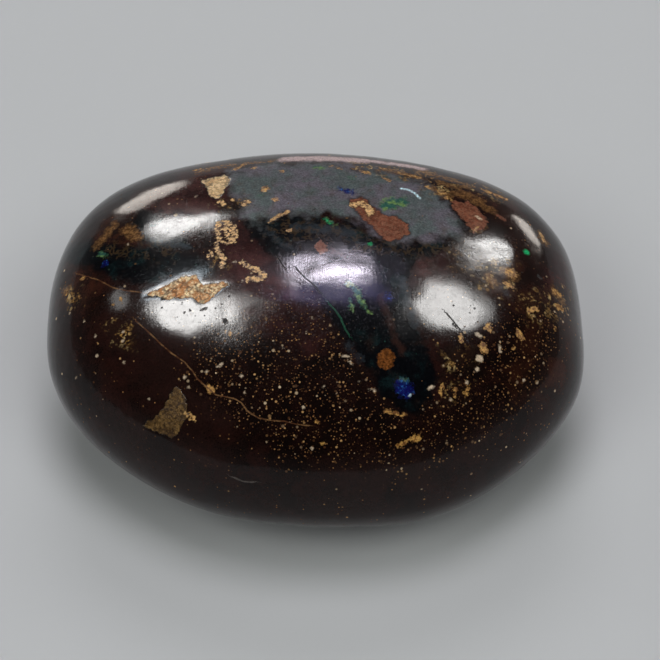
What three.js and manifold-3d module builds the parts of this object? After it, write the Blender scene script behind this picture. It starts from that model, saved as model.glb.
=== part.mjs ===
// A polished boulder opal: one stone of ironstone with opal in its cracks, shaped and polished by hand.
// It is domed on top, rounded underneath, and ground to a small flat that it rests on.
// Millimetres, +Z up. The origin is under the middle of the stone, on the plane of that flat,
// with the stone's length along X and the side it is shown from towards -Y.
import * as THREE from "three";
import { mergeVertices } from "three/addons/utils/BufferGeometryUtils.js";
import Module from "manifold-3d";

// Driving dimensions, measured from the middle of the girdle, the level where the stone is widest.
const HALF_LENGTH = 14;
const HALF_WIDTH = 10.8;
const CROWN_RISE = 6.4; // from the girdle up to the top of the dome
const KEEL_DROP = 6.7; // from the girdle down to where the rounded underside would end
const FLAT_GRIND = 0.45; // how much of the underside is ground away for the flat

// How square each outline is: 2 is an ellipse, and more is boxier.
const PLAN_SQUARENESS = { back: 3.0, front: 1.9 };
const SECTION_SQUARENESS = { crown: 2.5, keel: 1.75 };

// How gradually one squareness gives way to the other, as a share of a direction's own length.
const GIRDLE_SOFTNESS = 0.3; // from keel to crown
const FACE_SOFTNESS = 0.4; // from front to back

const END_TAPER = -0.055; // the change of width towards the +X end, as a share of the width
const PLAN_SKEW = -0.015; // how far the outline leans along X for each millimetre towards the back

// Gentle swellings, and flats where the height is negative, left by the shaping.
// Azimuth runs from +X towards +Y, and elevation from the girdle up, both in degrees.
const SWELL_SPREAD = 28; // degrees from the middle of a swelling to where it has mostly faded
const SWELLS = [
  { name: "front right foot", azimuth: -58, elevation: -18, height: 0.85 },
  { name: "front left foot", azimuth: -125, elevation: -18, height: 0.35 },
  { name: "left end", azimuth: 178, elevation: 8, height: 0.45 },
  { name: "right end", azimuth: 2, elevation: 8, height: -0.6 },
  { name: "back left shoulder", azimuth: 132, elevation: 22, height: -0.65 },
  { name: "back right shoulder", azimuth: 48, elevation: 22, height: -0.5 },
];

// The stone is a cube blown up like a ball, with each side cut into this many squares along an edge.
const SQUARES_PER_EDGE = 24;

const IRONSTONE = { color: 0x34201b, roughness: 0.15, metalness: 0 };

const { degToRad, radToDeg, lerp } = THREE.MathUtils;
const wasm = await Module();
wasm.setup();

// three.js measures spherical angles about +Y, so the axes are put in this part's order, about +Z.
function directionTowards(azimuth, elevation) {
  const aboutY = new THREE.Vector3();
  aboutY.setFromSphericalCoords(1, degToRad(90 - elevation), degToRad(azimuth));
  return new THREE.Vector3(aboutY.z, aboutY.x, aboutY.y);
}

const swellings = SWELLS.map(({ azimuth, elevation, height }) => ({
  middle: directionTowards(azimuth, elevation),
  height,
}));

// A share that eases from 0, well below zero, to 1, well above it.
function easedShare(value, softness) {
  return 0.5 + 0.5 * Math.tanh(value / softness);
}

// How far the surface is from the middle of the girdle, before the taper and the skew.
function radiusTowards(direction) {
  const crownShare = easedShare(direction.z, GIRDLE_SOFTNESS);
  const backShare = easedShare(direction.y, FACE_SOFTNESS);
  const rise = lerp(KEEL_DROP, CROWN_RISE, crownShare);
  const section = lerp(SECTION_SQUARENESS.keel, SECTION_SQUARENESS.crown, crownShare);
  const plan = lerp(PLAN_SQUARENESS.front, PLAN_SQUARENESS.back, backShare);
  const outward =
    Math.abs(direction.x / HALF_LENGTH) ** plan + Math.abs(direction.y / HALF_WIDTH) ** plan;
  const upward = Math.abs(direction.z / rise) ** section;
  let radius = (outward ** (section / plan) + upward) ** (-1 / section);
  for (const { middle, height } of swellings) {
    const away = radToDeg(direction.angleTo(middle));
    radius += height * Math.exp(-((away / SWELL_SPREAD) ** 2));
  }
  return radius;
}

// A point on the stone for a point on the cube's surface. The tangent evens out the squares.
function pointOnStone(onCube) {
  const even = onCube.toArray().map((coordinate) => Math.tan((coordinate * Math.PI) / 4));
  const point = new THREE.Vector3(...even).normalize();
  point.multiplyScalar(radiusTowards(point));
  point.y *= 1 + (END_TAPER * point.x) / HALF_LENGTH;
  point.x += PLAN_SKEW * point.y;
  return point;
}

// A box as a closed geometry, with its corners and edges shared between its faces.
function closedBox(width, depth, height, squares) {
  const box = new THREE.BoxGeometry(width, depth, height, squares, squares, squares);
  box.deleteAttribute("normal");
  box.deleteAttribute("uv");
  return mergeVertices(box);
}

// The whole rounded stone before it is ground, with the middle of its girdle at the origin.
function roundedGeometry() {
  const geometry = closedBox(2, 2, 2, SQUARES_PER_EDGE);
  const position = geometry.getAttribute("position");
  const onCube = new THREE.Vector3();
  for (let i = 0; i < position.count; i += 1) {
    onCube.fromBufferAttribute(position, i);
    position.setXYZ(i, ...pointOnStone(onCube).toArray());
  }
  return geometry;
}

// What the grinding takes away: a block whose top is the plane of the flat.
function groundAwayGeometry() {
  const depth = 2 * FLAT_GRIND;
  const block = closedBox(2 * HALF_LENGTH, 2 * HALF_WIDTH, depth, 1);
  return block.translate(0, 0, FLAT_GRIND - KEEL_DROP - depth / 2);
}

function solidOf(geometry) {
  return new wasm.Manifold(
    new wasm.Mesh({
      numProp: 3,
      vertProperties: geometry.getAttribute("position").array,
      triVerts: new Uint32Array(geometry.index.array),
    }),
  );
}

function geometryOf(solid) {
  const mesh = solid.getMesh();
  return new THREE.BufferGeometry()
    .setAttribute("position", new THREE.BufferAttribute(mesh.vertProperties, 3))
    .setIndex(new THREE.BufferAttribute(mesh.triVerts, 1));
}

// Brings the origin to the plane of the flat, under the middle of the stone's box.
function centreOverFlat(geometry) {
  geometry.computeBoundingBox();
  const { min, max } = geometry.boundingBox;
  return geometry.translate(-(min.x + max.x) / 2, -(min.y + max.y) / 2, -min.z);
}

function makeStone() {
  const ground = solidOf(roundedGeometry()).subtract(solidOf(groundAwayGeometry()));
  const geometry = centreOverFlat(geometryOf(ground));
  geometry.computeVertexNormals();
  const stone = new THREE.Mesh(geometry, new THREE.MeshStandardMaterial(IRONSTONE));
  stone.name = "boulder_opal_stone";
  return stone;
}

const boulderOpal = new THREE.Group();
boulderOpal.add(makeStone());
export default boulderOpal;
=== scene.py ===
import math

import bpy
import numpy as np
from mathutils import Euler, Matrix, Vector


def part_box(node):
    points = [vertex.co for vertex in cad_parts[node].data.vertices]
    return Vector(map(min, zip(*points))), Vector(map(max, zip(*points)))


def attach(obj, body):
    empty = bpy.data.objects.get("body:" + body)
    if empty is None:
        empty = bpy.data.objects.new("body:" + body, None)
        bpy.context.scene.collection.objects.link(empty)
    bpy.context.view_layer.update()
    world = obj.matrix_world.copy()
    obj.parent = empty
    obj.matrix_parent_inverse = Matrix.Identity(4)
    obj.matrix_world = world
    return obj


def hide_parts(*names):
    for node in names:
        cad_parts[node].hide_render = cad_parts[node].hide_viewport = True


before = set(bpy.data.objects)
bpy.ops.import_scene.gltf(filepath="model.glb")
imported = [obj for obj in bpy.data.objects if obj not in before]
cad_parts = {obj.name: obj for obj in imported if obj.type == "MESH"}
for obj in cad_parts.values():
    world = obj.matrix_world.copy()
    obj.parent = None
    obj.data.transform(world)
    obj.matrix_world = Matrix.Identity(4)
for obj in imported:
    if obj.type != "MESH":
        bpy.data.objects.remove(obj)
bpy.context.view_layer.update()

# A polished boulder opal on a pale table. Lengths are in metres unless a name or comment says mm.
MM = 0.001
STONE_NODE = "boulder_opal_stone"
STONE_LOW, STONE_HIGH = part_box(STONE_NODE)
MIDDLE = (STONE_LOW + STONE_HIGH) / 2

# ---------------------------------------------------------------- the camera

SHOW_ELEVATION = 53  # degrees above the table
EYE_DISTANCE = 300 * MM
VIEW_WIDTH = 34.2 * MM
AIM = MIDDLE + Vector((0.76, 0.47, 0.2)) * MM
SENSOR_WIDTH = 36  # mm


class Side:
    """A flat drawing board held in front of the stone, where marks are laid out before they go onto it."""

    def __init__(self, azimuth, elevation):
        turn, tilt = math.radians(azimuth), math.radians(elevation)
        self.right = Vector((math.cos(turn), math.sin(turn), 0))
        self.toward = Vector((
            math.sin(turn) * math.cos(tilt), -math.cos(turn) * math.cos(tilt), math.sin(tilt)))
        self.up = self.toward.cross(self.right)


SHOW = Side(0, SHOW_ELEVATION)
BACK = Side(180, 25)
RIGHT_END = Side(90, 15)
LEFT_END = Side(270, 15)


def add_camera():
    data = bpy.data.cameras.new("show_camera")
    data.sensor_width = SENSOR_WIDTH
    data.lens = SENSOR_WIDTH * EYE_DISTANCE / VIEW_WIDTH
    data.clip_start = 10 * MM
    camera = bpy.data.objects.new("show_camera", data)
    bpy.context.scene.collection.objects.link(camera)
    camera.location = AIM + SHOW.toward * EYE_DISTANCE
    camera.rotation_euler = (math.radians(90 - SHOW_ELEVATION), 0, 0)
    bpy.context.scene.camera = camera


# ---------------------------------------------------------------- marks on the stone
# Every place is in mm on a drawing board: across, then up, from the middle of the stone.
# A patch is an outline. A stroke or a line is a half width and the points that it runs through.
# A dot is a radius and its place.

SHOW_PATCHES = {
    "slate": [
        [(-4.4, 8.7), (-3.0, 9.05), (0.0, 9.25), (2.6, 9.05), (4.2, 8.7), (5.4, 8.2), (6.3, 7.6),
         (7.0, 6.8), (7.5, 5.9), (7.3, 5.1), (6.2, 5.25), (5.0, 5.1), (4.0, 5.0), (3.3, 5.3), (2.4, 6.1),
         (1.6, 6.2), (0.6, 6.6), (-0.4, 6.2), (-1.6, 6.6), (-2.4, 6.1), (-3.2, 6.0), (-3.7, 6.3),
         (-3.9, 7.1), (-4.5, 7.7)],
    ],
    # The black opal here is partly painted reflection: along the band above the highlights, from the left
    # end across the crown, it also stands for the dark room and the highlights' dark fringe seen in the
    # polish.
    "black": [
        [(-3.7, 6.1), (-2.3, 6.2), (-1.0, 6.4), (0.5, 6.3), (1.2, 6.0), (2.3, 5.9), (3.3, 5.1),
         (4.6, 4.9), (6.3, 5.3), (7.4, 5.0), (6.4, 4.5), (5.2, 4.0), (4.7, 3.0), (4.6, 1.8), (5.1, 0.6),
         (5.7, -0.6), (6.2, -1.9), (5.9, -3.0), (5.2, -3.75), (4.3, -3.6), (3.4, -2.9), (3.0, -2.0),
         (2.5, -1.3), (1.8, -0.4), (1.1, 0.6), (0.5, 1.5), (0.2, 2.3), (-0.4, 3.0), (-1.0, 3.6),
         (-1.9, 4.1), (-2.6, 4.8), (-3.2, 5.2)],
        [(-13.6, 4.6), (-12.0, 5.2), (-10.4, 4.9), (-8.6, 4.7), (-7.0, 4.4), (-5.4, 4.0), (-5.2, 3.3),
         (-6.8, 3.4), (-8.4, 2.9), (-9.8, 3.0), (-11.0, 3.5), (-12.6, 3.9)],
        [(-9.2, 6.9), (-7.9, 6.6), (-7.6, 6.0), (-6.2, 4.7), (-7.8, 4.5), (-9.6, 5.4)],
    ],
    "rust": [
        [(8.1, 4.1), (10.4, 4.2), (10.6, 2.3), (9.0, 2.1), (8.1, 2.6)],
        [(10.5, 2.7), (13.2, 2.6), (13.4, -1.0), (12.0, -3.0), (9.8, -3.2), (9.2, -1.7), (10.4, 0.0)],
        [(1.8, 9.5), (5.5, 9.0), (8.6, 8.0), (10.8, 7.0), (10.0, 6.3), (8.0, 7.2), (5.2, 8.3),
         (2.0, 8.85)],
        [(-10.3, 6.2), (-9.0, 6.2), (-8.9, 5.1), (-10.2, 5.0)],
        [(-12.8, 3.4), (-11.0, 3.0), (-11.5, 1.6), (-13.2, 1.8)],
        [(-6.4, 8.6), (-4.2, 8.9), (-2.6, 9.3), (0.2, 9.4), (2.8, 9.3), (2.8, 10.2), (-6.4, 9.9)],
        [(-13.2, 3.4), (-12.0, 5.2), (-10.4, 6.9), (-9.4, 6.5), (-10.9, 4.8), (-12.0, 3.2)],
    ],
    "maroon": [
        [(-9.6, 6.6), (-8.0, 8.2), (-5.5, 9.4), (-3.4, 9.8), (-4.3, 8.6), (-4.2, 7.3), (-5.2, 6.2),
         (-7.0, 6.3)],
        [(-5.3, 4.4), (-4.4, 6.4), (-3.4, 5.2), (-2.3, 4.2), (-1.5, 2.8), (-2.4, 1.3), (-4.4, 0.9),
         (-4.8, 2.8)],
        [(4.9, 4.2), (5.9, 4.7), (6.9, 4.5), (6.8, 3.3), (5.8, 2.8), (5.0, 3.2)],
        [(11.0, -2.6), (12.8, -0.5), (13.6, 2.5), (12.8, 4.6), (11.8, 3.1), (11.2, 0.5)],
        [(-3.0, 1.2), (-1.2, 2.6), (-0.2, 1.4), (0.8, -0.3), (-0.6, -0.9), (-2.6, 0.2)],
    ],
    "threads": [
        [(-2.6, 6.3), (-0.4, 6.3), (1.8, 5.9), (3.2, 5.0), (5.0, 5.1), (7.2, 5.1), (7.0, 4.4), (4.6, 4.2),
         (2.6, 4.6), (0.6, 5.3), (-1.6, 5.0), (-2.6, 5.3)],
        [(-11.0, 5.0), (-9.0, 5.2), (-7.4, 4.9), (-7.0, 4.2), (-8.8, 4.2), (-10.8, 4.3)],
        [(7.2, 5.0), (8.6, 4.6), (9.4, 4.2), (8.4, 3.2), (7.0, 3.8)],
    ],
    "brick": [
        [(1.77, 7.16), (2.21, 7.31), (2.61, 7.25), (2.94, 6.86), (3.53, 6.37), (4.11, 6.34), (4.77, 5.88),
         (4.85, 5.46), (4.48, 5.23), (3.89, 5.05), (3.49, 5.2), (2.94, 5.76), (2.36, 6.33), (1.88, 6.82)],
        [(-0.05, 4.75), (0.25, 5.1), (0.6, 4.9), (0.7, 4.55), (0.3, 4.4)],
        [(7.0, 7.2), (7.9, 7.1), (8.5, 6.6), (8.9, 6.1), (8.6, 5.6), (8.1, 5.5), (7.7, 6.1), (7.2, 6.6)],
    ],
    "pebble": [
        [(3.15, -0.75), (3.4, -0.5), (3.8, -0.5), (4.05, -0.85), (3.95, -1.35), (3.6, -1.62),
         (3.25, -1.35), (3.12, -1.05)],
    ],
    "tan": [
        [(-5.96, 8.3), (-5.33, 8.37), (-4.74, 8.5), (-4.44, 8.36), (-4.48, 8.05), (-4.7, 7.9),
         (-4.77, 7.55), (-5.03, 7.28), (-5.33, 7.36), (-5.55, 7.62), (-5.6, 7.9)],
    ],
    "olive": [
        [(-7.04, -2.3), (-6.75, -2.55), (-6.5, -3.05), (-6.48, -3.7), (-6.3, -3.85), (-6.6, -4.1),
         (-6.8, -4.5), (-7.0, -4.8), (-7.3, -4.95), (-7.73, -4.75), (-8.25, -4.57), (-8.72, -4.35),
         (-8.46, -4.1), (-8.17, -4.05), (-7.8, -3.62), (-7.5, -3.2), (-7.3, -2.7)],
    ],
    "leaf": [
        [(-8.7, 2.27), (-8.05, 2.55), (-7.06, 3.03), (-6.7, 3.25), (-6.05, 3.25), (-5.85, 2.95),
         (-5.75, 2.8), (-5.2, 2.85), (-4.7, 2.95), (-4.3, 2.85), (-4.7, 2.65), (-5.1, 2.3), (-5.35, 2.05),
         (-5.75, 1.8), (-6.0, 2.0), (-6.25, 2.2), (-6.6, 2.1), (-7.1, 2.15), (-7.5, 2.05), (-8.05, 2.25)],
    ],
    "gold_dust": [
        [(8.3, 4.0), (10.3, 4.1), (10.5, 2.5), (9.2, 2.3), (8.3, 2.5)],
        [(10.4, 2.4), (12.9, 2.7), (13.0, 1.0), (10.8, 0.9)],
        [(6.4, -0.5), (8.2, -0.4), (8.1, -1.5), (6.7, -1.7)],
        [(6.3, -2.2), (7.9, -2.0), (7.6, -3.2), (6.4, -3.2)],
        [(-12.9, 2.7), (-12.0, 2.6), (-11.8, 1.9), (-12.8, 1.7)],
        [(-10.6, 0.8), (-9.4, 0.7), (-9.4, -0.4), (-10.3, -0.2)],
        [(1.8, 9.3), (5.6, 8.9), (7.4, 7.9), (7.0, 7.4), (5.0, 8.1), (2.0, 8.8)],
        [(7.6, 8.3), (10.4, 7.6), (10.2, 7.1), (8.2, 7.7)],
        [(7.0, 4.4), (8.4, 4.3), (8.4, 3.4), (7.1, 3.4)],
        [(-5.4, 4.6), (-4.5, 4.6), (-4.4, 3.4), (-5.2, 3.3)],
        [(-5.1, 7.4), (-3.4, 7.3), (-3.6, 6.7), (-5.0, 6.7)],
    ],
    "speckled": [
        [(-4.5, 1.6), (-1.0, 1.9), (1.0, 1.1), (2.5, -1.3), (4.5, -4.0), (6.2, -2.6), (8.2, -0.2),
         (10.0, 1.4), (12.6, 1.6), (11.6, -2.5), (8.5, -5.2), (4.0, -6.3), (-1.0, -6.3), (-4.0, -4.6),
         (-6.5, -2.6), (-6.2, -0.2)],
    ],
    "pitted": [
        [(-8.4, 1.6), (-7.2, 2.1), (-5.6, 1.7), (-4.0, 2.3), (-3.6, 1.2), (-4.6, 0.3), (-6.2, 0.1),
         (-7.8, 0.4)],
        [(6.0, 2.4), (7.8, 2.2), (8.4, 1.0), (7.0, 0.4), (6.2, 1.2)],
    ],
    "green": [
        [(3.3, 6.85), (3.5, 7.2), (4.2, 7.3), (4.65, 7.3), (4.8, 7.05), (4.5, 6.85), (4.0, 6.75),
         (3.6, 6.62)],
    ],
    "blue": [
        [(4.1, -2.1), (4.5, -1.95), (4.85, -2.3), (4.95, -2.7), (4.7, -2.95), (4.3, -2.85), (4.05, -2.5)],
    ],
}
SHOW_STROKES = {
    "lace": [
        (0.13, [(-3.75, 3.95), (-3.1, 3.6), (-2.55, 3.3)]),
        (0.15, [(-2.6, 3.25), (-2.75, 3.1), (-3.45, 3.08)]), (0.13, [(-4.9, 7.1), (-4.7, 6.95)]),
        (0.15, [(-3.65, 7.0), (-3.45, 7.1)]),
        (0.1, [(-4.95, 6.0), (-4.6, 6.1), (-4.2, 5.85), (-4.05, 5.45), (-4.15, 5.05), (-4.5, 4.9),
               (-4.9, 5.15), (-5.05, 5.55), (-4.95, 6.0)]),
        (0.09, [(-4.9, 5.7), (-4.5, 5.75), (-4.2, 5.5)]),
        (0.09, [(-4.6, 6.0), (-4.55, 5.4), (-4.3, 5.1)]),
        (0.11, [(-4.95, 5.0), (-5.05, 4.7), (-4.85, 4.45)]),
        (0.13, [(-4.85, 4.4), (-4.65, 4.15), (-4.75, 3.75)]), (0.1, [(-5.3, 4.5), (-5.4, 4.2)]),
        (0.1, [(-6.5, -3.75), (-6.1, -3.97)]),
        (0.19, [(1.95, 6.95), (2.4, 6.98), (2.75, 6.75), (2.85, 6.5)]),
        (0.13, [(11.65, 5.5), (11.85, 5.1)]),
    ],
    "ochre": [
        (0.12, [(-3.7, 9.1), (-4.2, 8.85)]), (0.1, [(-6.3, 8.82), (-6.0, 8.88)]),
        (0.12, [(2.45, 8.72), (2.75, 8.62)]), (0.08, [(3.55, 8.35), (3.85, 8.18)]),
        (0.1, [(3.45, 8.9), (3.65, 8.85)]), (0.09, [(4.3, 8.65), (4.9, 8.5), (5.4, 8.4)]),
        (0.06, [(0.8, 9.0), (1.4, 8.85)]), (0.1, [(5.8, 7.9), (6.0, 7.83)]),
        (0.09, [(6.3, 7.7), (6.75, 7.5)]), (0.1, [(6.7, 7.35), (6.95, 7.2)]),
        (0.11, [(8.9, 7.7), (9.4, 7.5), (9.9, 7.3)]), (0.1, [(-2.3, 6.1), (-1.8, 6.4), (-1.4, 6.6)]),
        (0.24, [(9.95, 3.45), (10.1, 3.4)]), (0.12, [(9.7, 2.9), (10.1, 2.65)]),
        (0.2, [(12.3, 2.45), (12.55, 2.3)]), (0.18, [(12.4, 1.75), (12.65, 1.6)]),
        (0.14, [(10.9, 1.5), (11.3, 1.6)]), (0.17, [(10.35, 0.35), (10.5, 0.1)]),
        (0.2, [(8.5, -0.35), (8.6, -0.55)]), (0.08, [(8.65, 0.55), (8.8, 0.8), (8.95, 0.6), (8.8, 0.45)]),
        (0.12, [(7.4, 0.15), (7.45, -0.05)]), (0.14, [(-5.4, -2.35), (-5.15, -2.6)]),
        (0.1, [(4.2, -5.3), (4.7, -5.1)]), (0.15, [(4.95, -5.0), (5.25, -4.95)]),
        (0.07, [(3.5, -3.6), (4.0, -3.65), (4.45, -3.75)]), (0.08, [(6.4, -2.35), (6.35, -2.8)]),
        (0.1, [(7.05, -2.5), (7.05, -2.75)]), (0.12, [(7.75, -2.4), (7.65, -2.65)]),
        (0.12, [(8.3, 5.75), (8.2, 5.6)]),
    ],
    "cream": [
        (0.07, [(1.4, -0.8), (1.7, -0.88)]), (0.06, [(1.7, -1.05), (1.9, -1.25)]),
        (0.08, [(5.75, -2.45), (5.95, -2.35)]), (0.08, [(-4.9, -1.33), (-4.7, -1.24)]),
        (0.1, [(8.2, 0.3), (8.4, 0.15)]), (0.07, [(9.35, -0.3), (9.4, -0.6)]),
        (0.08, [(8.3, 6.35), (8.55, 6.2)]),
    ],
    "russet": [
        (0.16, [(3.3, 2.2), (3.7, 1.2), (4.1, 0.0), (4.4, -0.6)]), (0.12, [(0.6, 4.6), (1.6, 4.3)]),
        (0.14, [(5.2, 4.4), (6.2, 3.6)]),
    ],
    "steel": [
        (0.18, [(4.4, 3.0), (4.7, 2.0), (5.1, 0.8)]), (0.14, [(-2.6, 5.6), (-1.2, 4.6)]),
        # The steel streak from (-8.4, 5.0) is partly painted reflection, the dark fringe under the upper
        # left highlight.
        (0.26, [(-1.0, 5.75), (0.6, 5.7), (1.8, 5.5)]), (0.2, [(-8.4, 5.0), (-6.6, 4.8)]),
        (0.14, [(9.6, 2.7), (9.8, 2.3)]), (0.12, [(1.6, -0.2), (2.3, -1.0)]),
    ],
    "amber": [
        (0.3, [(-9.7, 5.7), (-9.2, 5.3)]), (0.3, [(9.7, 3.5), (10.1, 3.3)]),
        (0.25, [(8.9, 3.2), (9.1, 2.9)]), (0.25, [(12.3, 2.5), (12.6, 2.1)]),
        (0.18, [(8.9, 7.7), (9.9, 7.3)]), (0.18, [(3.4, 8.85), (5.4, 8.4)]),
        (0.15, [(6.0, 7.9), (6.8, 7.4)]), (0.16, [(11.6, 5.5), (12.0, 4.9)]),
        (0.22, [(8.6, 5.9), (8.2, 5.7)]), (0.26, [(-6.0, 8.75), (-5.2, 9.0), (-4.2, 9.1)]),
        (0.16, [(-3.6, 9.2), (-2.2, 9.3)]), (0.22, [(5.6, 8.75), (6.8, 8.4), (7.8, 8.0)]),
        (0.2, [(7.2, 7.6), (8.4, 7.1), (9.2, 6.6)]), (0.16, [(6.4, 8.2), (7.6, 7.7), (8.6, 7.2)]),
        (0.22, [(-11.2, 4.9), (-10.4, 5.9)]),
    ],
    # This pale pink line along the crown's far rim is a painted reflection of the pale table.
    "painted_rim_reflection": [
        (0.38, [(-1.5, 9.4), (0.8, 9.42), (2.6, 9.32)]), (0.26, [(2.6, 9.32), (4.3, 9.12), (5.6, 8.9)]),
    ],
    "brick": [
        (0.14, [(9.25, 6.55), (9.75, 6.2)]),
    ],
    "green": [
        (0.15, [(1.7, 2.9), (2.1, 2.5), (2.3, 2.0)]), (0.08, [(2.3, 2.0), (2.75, 1.35)]),
        (0.07, [(1.75, 2.0), (1.9, 1.5)]), (0.12, [(-0.05, 8.95), (0.4, 8.9)]),
        (0.07, [(0.6, 6.2), (1.0, 5.9)]), (0.12, [(4.4, -2.05), (4.6, -2.1)]),
        (0.12, [(-11.1, 4.4), (-10.8, 4.3)]),
    ],
    "emerald": [
        (0.06, [(0.5, 6.2), (0.8, 5.95)]),
    ],
    "blue": [
        (0.14, [(1.3, 7.75), (1.9, 7.6)]),
    ],
    # Painted reflections: the white-cyan arc off a small scratch's edge and the white spot on the blue
    # fleck are light put into the colour.
    "painted_glint": [
        (0.07, [(4.44, 7.8), (4.85, 7.72), (5.15, 7.55), (5.4, 7.27)]),
        (0.045, [(4.75, -2.85), (4.85, -2.75)]),
    ],
    "pit": [
        (0.07, [(-5.75, 1.52), (-5.5, 1.6)]), (0.1, [(-4.6, 1.02), (-4.5, 0.88)]),
        (0.08, [(-7.8, 2.1), (-7.65, 2.1)]), (0.07, [(7.0, 0.8), (7.2, 0.62)]),
        (0.08, [(11.45, 3.3), (11.6, 3.15)]), (0.07, [(-0.2, 6.6), (0.05, 6.7)]),
    ],
}
SHOW_DOTS = {
    "lace": [
        (0.11, -4.25, 7.2),
    ],
    "ochre": [
        (0.2, -2.58, 7.77), (0.17, -2.06, 7.23), (0.12, -1.73, 8.7), (0.14, -3.15, 8.9),
        (0.12, -1.33, 5.6), (0.12, -4.25, 0.37), (0.12, 12.3, 0.55), (0.11, 10.1, -0.42),
        (0.15, -12.8, 2.4), (0.1, -12.1, 2.15), (0.1, -11.95, 3.15), (0.12, -9.9, 2.0),
        (0.08, -10.3, 1.85), (0.1, 0.1, -4.2), (0.09, 0.4, -5.2),
    ],
    "cream": [
        (0.09, -6.16, 7.38), (0.1, -4.1, 3.98), (0.07, -3.7, 2.98), (0.06, -3.66, 4.68),
        (0.08, -0.1, 1.1), (0.07, -0.43, 0.37), (0.07, -1.6, -0.4), (0.08, 2.75, -2.5),
        (0.09, 3.0, -2.56), (0.1, 7.67, -2.15), (0.08, 6.85, -3.0), (0.09, -3.7, -1.83),
        (0.08, -5.48, -1.6), (0.07, -3.53, -2.65), (0.1, -6.57, -1.88), (0.08, -6.4, -2.4),
        (0.08, 0.4, -2.35), (0.08, -0.58, -3.4), (0.09, -0.15, -5.45), (0.08, -9.7, -1.15),
        (0.07, -8.4, -3.0), (0.08, -12.2, -1.95), (0.09, -11.1, -0.8), (0.08, -12.6, 1.35),
        (0.07, -11.8, 0.95), (0.08, -11.2, 0.2), (0.08, -9.75, 0.4), (0.08, -9.75, -0.05),
        (0.08, 8.66, 2.75), (0.2, 8.33, -0.95), (0.12, 8.2, -1.5), (0.08, 10.6, -2.05),
        (0.07, 11.3, -2.15), (0.07, 3.2, 8.5), (0.05, -5.7, 8.9), (0.05, -7.9, 7.6), (0.06, -9.6, 4.9),
        (0.06, -4.4, 2.0), (0.05, 0.9, -1.9), (0.06, 1.1, -2.7), (0.05, 2.2, -2.1),
    ],
    "amber": [
        (0.25, -12.9, 2.5), (0.16, -2.6, 7.75),
    ],
    "emerald": [
        (0.17, 10.87, 4.5), (0.1, 2.8, 4.9), (0.07, 2.15, 2.45), (0.07, 4.5, -2.15),
    ],
    "blue": [
        (0.17, 3.75, 2.15), (0.15, -10.8, 3.85),
    ],
    "pit": [
        (0.07, -6.65, 1.38), (0.07, -6.35, 1.5), (0.07, -5.45, 0.7), (0.06, -4.75, 1.8),
        (0.07, -7.06, 1.1), (0.07, -6.75, 1.85), (0.06, -7.6, 0.55), (0.05, -5.2, 1.35),
        (0.05, -5.0, 1.1), (0.05, -6.05, 1.2), (0.05, -6.9, 0.85), (0.05, -5.85, 0.9), (0.06, 8.3, 0.92),
        (0.08, 5.5, 6.93), (0.07, 5.65, 6.12), (0.06, 1.4, 7.05),
    ],
}
SHOW_LINES = {
    "ochre_vein": [
        (0.034, [(-9.1, 0.95), (-8.56, 0.5), (-7.96, -0.07), (-7.3, -0.65), (-6.6, -1.12), (-6.17, -1.6),
                 (-5.95, -1.95), (-5.66, -2.2), (-5.3, -2.5), (-5.0, -2.78), (-4.5, -2.88),
                 (-4.05, -2.96), (-3.7, -3.17), (-3.4, -3.6), (-2.83, -3.93), (-2.1, -4.07), (-1.5, -4.1),
                 (-0.9, -4.25), (-0.3, -4.32)]),
        (0.035, [(-12.3, 3.4), (-11.1, 3.05), (-10.3, 2.65), (-9.6, 2.5), (-8.8, 2.4)]),
    ],
    "green_vein": [
        (0.05, [(0.75, 1.8), (1.03, 1.5), (1.3, 1.1), (1.55, 0.5), (1.7, 0.3)]),
    ],
    "crack": [
        (0.025, [(-1.95, 4.25), (-1.75, 3.95), (-1.55, 3.65)]),
        (0.02, [(-0.97, 3.65), (-0.46, 3.1), (-0.03, 2.77), (0.26, 2.4)]),
        (0.035, [(6.7, 1.3), (7.05, 0.9), (7.25, 0.65), (7.55, 0.2)]),
    ],
    "scratch": [
        (0.05, [(-4.1, -6.95), (-3.65, -7.15), (-3.1, -7.2)]),
    ],
}
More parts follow.
